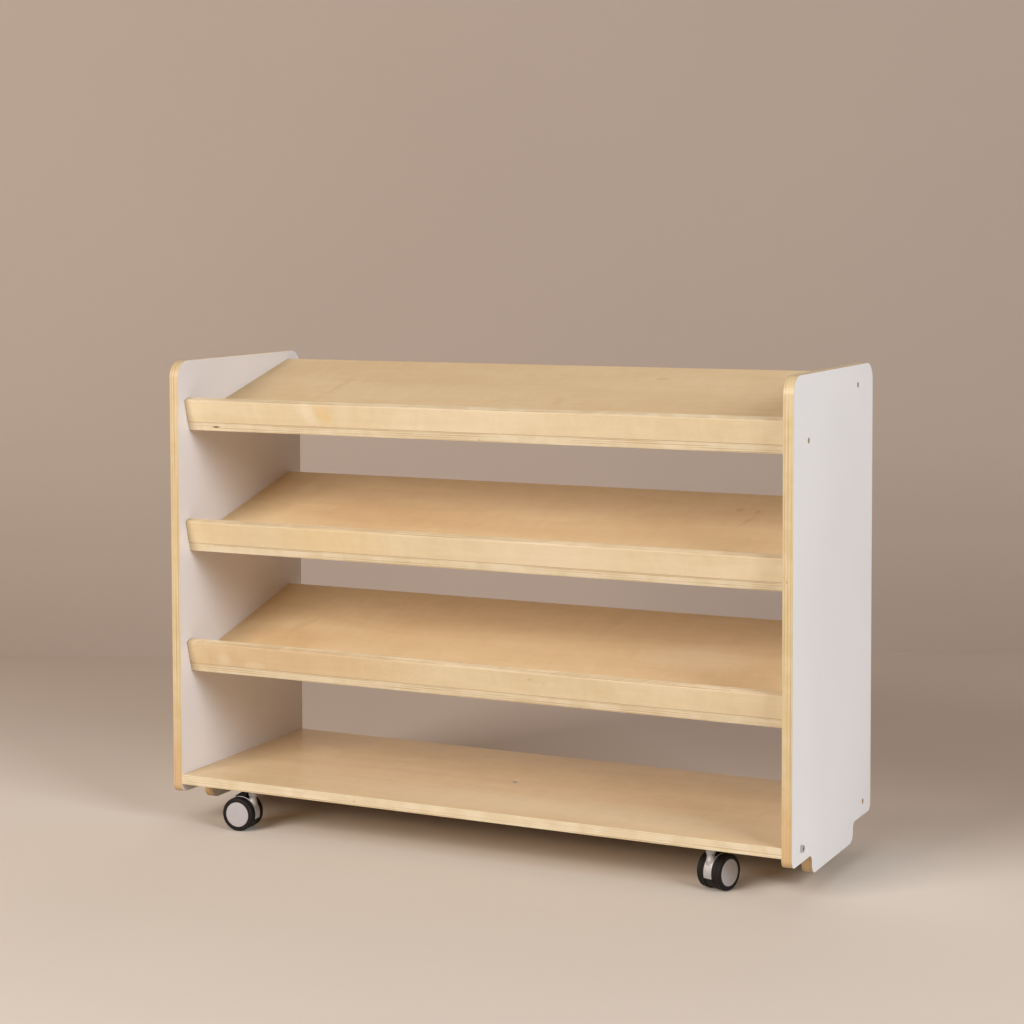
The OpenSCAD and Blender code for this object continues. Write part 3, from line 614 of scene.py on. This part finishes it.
# A round-shouldered ring about Z, with its outer side up
def makeTyre(size):
    radius, half = size["radius"], size["width"]/2
    bpy.ops.object.select_all(action="DESELECT")
    bpy.ops.mesh.primitive_cylinder_add(
        vertices=size["sides"], radius=radius, depth=size["width"])
    piece = startPiece("tyrePattern")
    pick(piece, "FACE", lambda centre, normal: abs(normal.z) > 0.9)
    bpy.ops.mesh.inset(thickness=radius - size["bore"], use_individual=True)
    bpy.ops.mesh.delete(type="FACE")
    pick(piece, "EDGE", lambda a, b: max(reach(a), reach(b)) < size["bore"] + nearby)
    bpy.ops.mesh.bridge_edge_loops()
    for side, offset, segments in ((1, size["outerRound"], size["outerSteps"]),
                                   (-1, size["innerRound"], size["innerSteps"])):
        pick(piece, "EDGE", lambda a, b: min(reach(a), reach(b)) > radius - nearby
             and min(a.z*side, b.z*side) > half - nearby)
        bpy.ops.mesh.bevel(offset=offset, segments=segments, affect="EDGES")
    pick(piece, "FACE", lambda centre, normal: reach(centre) > radius - 3*nearby
         and abs(normal.z) < 0.02)
    bpy.ops.mesh.inset(thickness=size["treadInset"])
    crowned = 1 - size["crown"]/radius
    bpy.ops.transform.resize(value=(crowned, crowned, size["treadWidth"]))
    return leaveEdit(piece, size["smooth"])


# A wheel disc with a flat cap on its outer side and a hollow with a boss on its inner side
def makeCap(size):
    half = size["depth"]/2
    hollowWidth = size["radius"] - size["wall"] - size["wallDraft"] - size["boss"]
    bpy.ops.object.select_all(action="DESELECT")
    bpy.ops.mesh.primitive_cylinder_add(
        vertices=size["sides"], radius=size["radius"], depth=size["depth"])
    piece = startPiece("capPattern")
    pick(piece, "EDGE", lambda a, b: min(a.z, b.z) > half - nearby/10)
    bpy.ops.mesh.bevel(offset=size["edgeRound"], segments=size["edgeSteps"], affect="EDGES")
    pick(piece, "FACE", lambda centre, normal: normal.z > 0.99)
    for thickness, share in size["domeRings"]:
        bpy.ops.mesh.inset(thickness=thickness)
        bpy.ops.transform.translate(value=(0, 0, size["dome"]*share))
    pick(piece, "FACE", lambda centre, normal: normal.z < -0.99)
    bpy.ops.mesh.inset(thickness=size["wall"])
    for draft, lift, width in ((size["wallDraft"], size["hollow"], hollowWidth),
                               (size["bossDraft"], -size["hollow"],
                                size["boss"] - size["axleBore"])):
        bpy.ops.mesh.inset(thickness=draft)
        bpy.ops.transform.translate(value=(0, 0, lift))
        bpy.ops.mesh.inset(thickness=width)
    bpy.ops.mesh.delete(type="FACE")
    pick(piece, "EDGE", lambda a, b: max(reach(a), reach(b)) < size["axleBore"] + nearby
         and max(a.z, b.z) < 0)
    bpy.ops.mesh.edge_face_add()
    return leaveEdit(piece, size["smooth"])


# A castor body copied from its solid, with its edges and the root of its neck softened
def makeHood(name, toCastor, size):
    piece = bpy.data.objects.new(name + "Pattern", nodes["castor_body_" + name].data.copy())
    bpy.context.collection.objects.link(piece)
    piece.data.transform(toCastor.inverted())
    bpy.ops.object.select_all(action="DESELECT")
    piece.select_set(True)
    bpy.context.view_layer.objects.active = piece
    bpy.ops.object.mode_set(mode="EDIT")
    weldEdit(size["weld"])
    for kind, settings in (
            ("REMESH", {"mode": "VOXEL", "voxel_size": size["voxel"], "use_smooth_shade": True}),
            ("SMOOTH", {"factor": size["relax"], "iterations": size["relaxTimes"]}),
            ("DECIMATE", {"ratio": size["keep"]})):
        modifier = piece.modifiers.new(kind.lower(), kind)
        for key, value in settings.items():
            setattr(modifier, key, value)
        bpy.ops.object.modifier_apply(modifier=modifier.name)
    bpy.ops.object.shade_smooth_by_angle(angle=math.radians(size["smooth"]))
    return piece


def putCopy(pattern, name, place, material, body, node):
    piece = bpy.data.objects.new(name, pattern.data.copy())
    bpy.context.collection.objects.link(piece)
    piece.data.transform(place)
    piece.data.materials.clear()
    piece.data.materials.append(material)
    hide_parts(node)
    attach(piece, body)


# Swivel axis and heading of a castor, from its joints
def castorPlace(name):
    spot = joints["swivel_" + name]["pos_m"]
    axle = joints["spin_" + name + "_a"]["axis"]
    heading = math.atan2(-axle[0], axle[1])
    return Matrix.Translation((spot[0], spot[1], 0)) @ Matrix.Rotation(heading, 4, "Z")


# Middle of a wheel's solid and the way its outer side faces
def wheelPlace(node, name):
    low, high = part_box(node)
    middle = (Vector(low) + Vector(high))/2
    outward = (middle - Vector(joints["spin_" + name]["pos_m"])).normalized()
    turn = Vector((0, 0, 1)).rotation_difference(outward)
    return Matrix.Translation(middle) @ turn.to_matrix().to_4x4()


mouldedGrain = {"cloudScale": 60.0, "cloudTone": 0.88, "roughSpread": 0.06, "bump": 0.2}

castorSurfaces = {  # grain and depth are the scale and height of the fine bumps
    "rubber": {"name": "tyreRubber", "colour": (0.0105, 0.0078, 0.0078, 1), "roughness": 0.6,
               "grain": 2200.0, "depth": 0.0001, "shine": 0.2},
    "cap": {"name": "capGrey", "colour": (0.44, 0.41, 0.42, 1), "roughness": 0.42,
            "grain": 2600.0, "depth": 0.00005},
    "silver": {"name": "castorSilver", "colour": (0.50, 0.49, 0.50, 1), "roughness": 0.5,
               "grain": 1500.0, "depth": 0.00004, "metallic": 0.5},
    "black": {"name": "castorBlack", "colour": (0.007, 0.006, 0.006, 1), "roughness": 0.5,
              "grain": 2400.0, "depth": 0.00005, "shine": 0.25},
    "zinc": {"name": "zincSteel", "colour": (0.62, 0.61, 0.59, 1), "roughness": 0.34,
             "grain": 1200.0, "depth": 0.00003, "metallic": 1.0},
    "bolt": {"name": "boltSteel", "colour": (0.36, 0.34, 0.32, 1), "roughness": 0.38,
             "grain": 1200.0, "depth": 0.00003, "metallic": 0.9},
    "beech": {"name": "dowelBeech", "colour": (0.66, 0.47, 0.29, 1), "roughness": 0.6,
              "grain": 900.0, "depth": 0.00008},
}


def moulded(name, colour, roughness, grain, depth, metallic=0.0, shine=0.45):
    material, tree, shader = startMaterial(name, Metallic=metallic, Specular_IOR_Level=shine)
    place = addNode(tree, "TexCoord").outputs["Object"]
    cloud = noise(tree, place, mouldedGrain["cloudScale"], detail=3.0)
    darker = shaded(colour, mouldedGrain["cloudTone"])
    tree.links.new(mixColours(tree, cloud, darker, colour), shader.inputs["Base Color"])
    spread = mouldedGrain["roughSpread"]
    rough = addNode(tree, "MapRange", {
        "Value": cloud, "To Min": roughness - spread, "To Max": roughness + spread})
    tree.links.new(rough.outputs["Result"], shader.inputs["Roughness"])
    addBump(tree, shader, noise(tree, place, grain), mouldedGrain["bump"], depth)
    return material


pedalEdge = {"weld": 1e-5, "width": 0.0004, "steps": 2, "angle": 35}


def softenNode(name, size):
    weld = nodes[name].modifiers.new("weld", "WELD")
    weld.merge_threshold = size["weld"]
    bevel = nodes[name].modifiers.new("softEdges", "BEVEL")
    bevel.width = size["width"]
    bevel.segments = size["steps"]
    bevel.limit_method = "ANGLE"
    bevel.angle_limit = math.radians(size["angle"])


castorLook = {kind: moulded(**surface) for kind, surface in castorSurfaces.items()}
tyrePattern = makeTyre(tyreShape)
capPattern = makeCap(capShape)
print("wheel patterns made")
for first, twin in (("fl", "fr"), ("rl", "rr")):
    hoodPattern = makeHood(first, castorPlace(first), hoodShape)
    for name in (first, twin):
        putCopy(hoodPattern, "castorHood_" + name, castorPlace(name), castorLook["silver"],
                "castor_" + name, "castor_body_" + name)
    bpy.data.objects.remove(hoodPattern)
print("castor hoods made")
for name in ("fl", "fr", "rl", "rr"):
    for wheel in (name + "_a", name + "_b"):
        putCopy(tyrePattern, "wheelTyre_" + wheel, wheelPlace("tyre_" + wheel, wheel),
                castorLook["rubber"], "wheel_" + wheel, "tyre_" + wheel)
        putCopy(capPattern, "wheelCap_" + wheel, wheelPlace("hub_" + wheel, wheel),
                castorLook["cap"], "wheel_" + wheel, "hub_" + wheel)
    finishNode("castor_insert_" + name, castorLook["black"])
    finishNode("castor_axle_" + name, castorLook["zinc"])
    finishNode("castor_plate_" + name, castorLook["zinc"])
for pattern in (tyrePattern, capPattern):
    bpy.data.objects.remove(pattern)
for name in ("brake_pedal_fl", "brake_pedal_fr"):
    finishNode(name, castorLook["black"])
    softenNode(name, pedalEdge)
finishNode("sunk_bolts", castorLook["bolt"])
for name in ("proud_bolts", "rail_screw", "barrel_nuts", "cam_bolts", "cam_discs",
             "plate_screws", "castor_kingpins"):
    finishNode(name, castorLook["zinc"])
finishNode("wood_dowels", castorLook["beech"])
print("castors finished")


# Studio: pale floor, plain backdrop that only shows from the front, soft lamps

studio = {
    "floorNear": (0.688, 0.624, 0.557, 1),
    # Painted shade: the floor is darker far to the rear and below the lamps
    "floorFarShaded": (0.54, 0.45, 0.385, 1),
    "floorShadeBelowLamps": (0.20, 0.18, 0.16, 1),
    "backdropColour": (0.42, 0.345, 0.295, 1),
    "floorSize": 14.0,
    "floorZ": -0.0002,
    "backdropSize": 12,
    "behind": 1.8,
    "worldStrength": 0.15,
    "worldColour": (1.0, 0.73, 0.53, 1),
    "worldShown": (0.42, 0.34, 0.28, 1),
}

# Where the floor's painted shade falls, and a faint random cloud
surfaceFade = {
    "depthLean": 0.1,
    "nearAt": -0.1,
    "farAt": 1.0,
    "aheadLean": 0.4,
    "lampsFrom": 1.2,
    "lampsTo": 5.0,
    "cloudScale": 1.3,
    "cloudShare": 0.05,
}

lampAim = (0, 0, 0.42)
lamps = {
    "front": {"place": (-2.03, -5.58, 3.09), "size": (3.0, 3.0), "power": 361,
              "colour": (1.0, 0.93, 0.87)},
    "side": {"place": (5.42, -2.42, 3.09), "size": (3.0, 3.0), "power": 270,
             "colour": (0.95, 0.98, 1.0)},
    "rear": {"place": (-1.0, 4.5, 4.2), "size": (2.6, 2.0), "power": 30,
             "colour": (1.0, 0.96, 0.92)},
}


# Mixes two shaders and sends the result to the tree's output
def mixOutput(tree, share, first, second, output):
    blend = addNode(tree, "MixShader", {0: share, 1: first.outputs[0], 2: second.outputs[0]})
    tree.links.new(blend.outputs[0], tree.nodes[output].inputs["Surface"])


# The colour runs from near to far towards the rear, as painted shade for the falloff of light and
# the piece's shadow there, and darkens in front, below the lamps, as painted shade that holds
# down their glare
def plainSurface(name, near, far, shadeBelowLamps, oneSided=False):
    material, tree, shader = startMaterial(name, Roughness=1.0, Specular_IOR_Level=0.0)
    place = addNode(tree, "TexCoord").outputs["Object"]
    spot = axes(tree, place)
    depth = maths(tree, "ADD", spot["Y"], scaled(tree, spot["X"], surfaceFade["depthLean"]))
    depth = between(tree, depth, surfaceFade["nearAt"], surfaceFade["farAt"])
    colour = mixColours(tree, depth, near, far)
    # Painted shade: the floor darkens ahead of the piece, below the lamps, to hold down their
    # glare
    lampShade = maths(tree, "SUBTRACT", scaled(tree, spot["X"], surfaceFade["aheadLean"]), spot["Y"])
    lampShade = between(tree, lampShade, surfaceFade["lampsFrom"], surfaceFade["lampsTo"])
    colour = mixColours(tree, lampShade, colour, shadeBelowLamps)
    cloud = scaled(tree, noise(tree, place, surfaceFade["cloudScale"]), surfaceFade["cloudShare"])
    tree.links.new(mixColours(tree, cloud, colour, (0, 0, 0, 1)), shader.inputs["Base Color"])
    if oneSided:
        fromBehind = addNode(tree, "NewGeometry").outputs["Backfacing"]
        clear = addNode(tree, "BsdfTransparent")
        mixOutput(tree, fromBehind, shader, clear, "Material Output")
    return material


def makeStudio(size):
    bpy.ops.object.select_all(action="DESELECT")
    bpy.ops.mesh.primitive_plane_add(size=size["floorSize"], location=(0, 0, size["floorZ"]))
    floor = bpy.context.object
    floor.name = "studioFloor"
    floor.data.materials.append(plainSurface(
        "paleFloorWithPaintedShade", size["floorNear"], size["floorFarShaded"], size["floorShadeBelowLamps"]))
    heading = math.radians(cameraView["yaw"])
    bpy.ops.mesh.primitive_plane_add(
        size=size["backdropSize"], rotation=(math.radians(90), 0, heading),
        location=(-math.sin(heading)*size["behind"], math.cos(heading)*size["behind"], 0))
    backdrop = bpy.context.object
    backdrop.name = "studioBackdrop"
    backdropColours = [size["backdropColour"]]*3
    backdrop.data.materials.append(
        plainSurface("paleBackdrop", *backdropColours, oneSided=True))
    backdrop.visible_shadow = False


# The world lights the piece with one colour and shows another to the camera and in reflections
def makeWorld(size):
    world = bpy.data.worlds.new("studioWorld")
    bpy.context.scene.world = world
    world.use_nodes = True
    tree = world.node_tree
    light = tree.nodes["Background"]
    light.inputs["Color"].default_value = size["worldColour"]
    light.inputs["Strength"].default_value = size["worldStrength"]
    shown = addNode(tree, "Background", {"Color": size["worldShown"], "Strength": 1.0})
    rays = addNode(tree, "LightPath").outputs
    seen = maths(tree, "ADD", rays["Is Camera Ray"], rays["Is Glossy Ray"])
    seen = maths(tree, "ADD", seen, rays["Is Transmission Ray"], clamp=True)
    mixOutput(tree, seen, light, shown, "World Output")


def makeLamp(name, size, aim):
    lamp = bpy.data.lights.new(name + "Lamp", "AREA")
    lamp.shape = "RECTANGLE"
    lamp.size, lamp.size_y = size["size"]
    lamp.energy = size["power"]
    lamp.color = size["colour"]
    holder = bpy.data.objects.new(name + "Lamp", lamp)
    bpy.context.collection.objects.link(holder)
    towards = Vector(aim) - Vector(size["place"])
    holder.location = size["place"]
    holder.rotation_euler = towards.to_track_quat("-Z", "Y").to_euler()


makeStudio(studio)
makeWorld(studio)
for name, lamp in lamps.items():
    makeLamp(name, lamp, lampAim)
print("studio ready")
